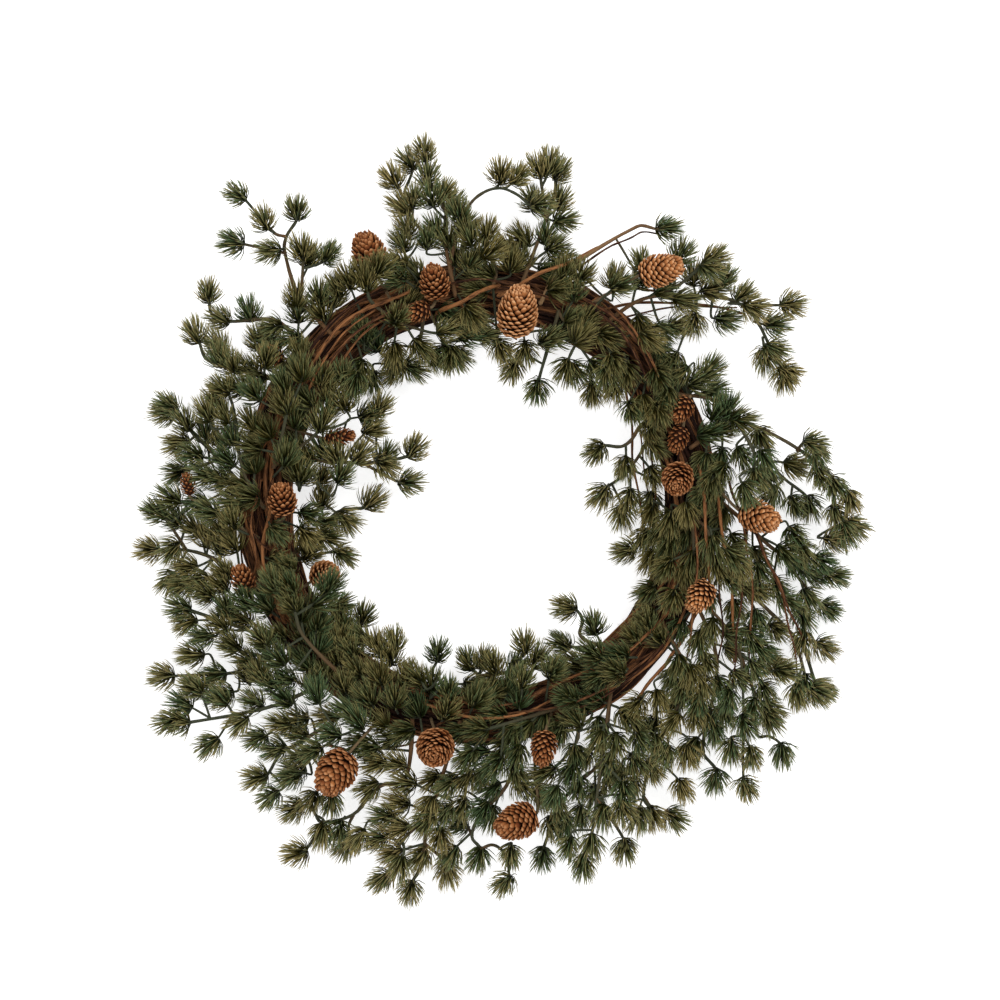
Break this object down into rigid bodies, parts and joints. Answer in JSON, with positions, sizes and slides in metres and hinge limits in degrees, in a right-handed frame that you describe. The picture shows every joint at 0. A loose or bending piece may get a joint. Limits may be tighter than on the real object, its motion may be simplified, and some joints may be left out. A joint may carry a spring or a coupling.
{
  "type": "evergreen wreath",
  "caption": "Round wreath of wound vine canes, dressed with branching evergreen sprays of short needle tufts and small woody cones.",
  "frame": {"origin": "middle of the wreath's outline, on the surface that it lies on", "axes": "+Z out of the wreath's front, +Y towards its top as hung, +X to the right seen from the front"},
  "size_m": [0.6369, 0.6614, 0.1128],
  "materials": {
    "bark": "rough dark brown bark",
    "foliage": "dull evergreen needles on thin twigs",
    "cone_scales": "dry orange-brown cone scales"
  },
  "bodies": {
    "root": {"vine_cane_1": "bark", "vine_cane_2": "bark", "vine_cane_3": "bark", "cone_top": "cone_scales", "cone_top_right": "cone_scales", "cone_top_left": "cone_scales", "cone_pair_top": "cone_scales", "cone_left_shoulder": "cone_scales", "cone_left": "cone_scales", "cone_left_front": "cone_scales", "cone_inner_left": "cone_scales", "cone_left_low": "cone_scales", "cone_bottom_left": "cone_scales", "cone_bottom": "cone_scales", "cone_bottom_middle": "cone_scales", "cone_bottom_right": "cone_scales", "cone_pair_right": "cone_scales", "cone_inner_right": "cone_scales", "cone_right": "cone_scales", "cone_right_low": "cone_scales", "cone_inner_shade": "cone_scales", "spray_upper_left_corner": "foliage", "spray_upper_left": "foliage", "spray_left_shoulder": "foliage", "spray_left_outer": "foliage", "spray_left_middle": "foliage", "spray_left_low": "foliage", "spray_left_foot": "foliage", "spray_bottom_left": "foliage", "spray_bottom_left_long": "foliage", "spray_bottom_near": "foliage", "spray_bottom_middle": "foliage", "spray_bottom_fringe": "foliage", "spray_bottom_right": "foliage", "spray_lower_right": "foliage", "spray_right_low": "foliage", "spray_right_middle": "foliage", "spray_right_tip": "foliage", "spray_right_upper": "foliage", "spray_upper_right": "foliage", "spray_arch": "foliage", "spray_top_right": "foliage", "spray_top_left": "foliage", "spray_top_middle": "foliage", "spray_ring_top": "foliage", "spray_inner_top": "foliage", "spray_inner_top_left": "foliage", "spray_inner_left": "foliage", "spray_inner_left_low": "foliage", "spray_inner_foot": "foliage", "spray_inner_bottom": "foliage", "spray_inner_bottom_right": "foliage", "spray_inner_right": "foliage", "spray_inner_right_low": "foliage", "spray_ring_left": "foliage", "spray_ring_foot": "foliage", "spray_ring_bottom": "foliage", "spray_ring_right": "foliage"}
  },
  "joints": []
}
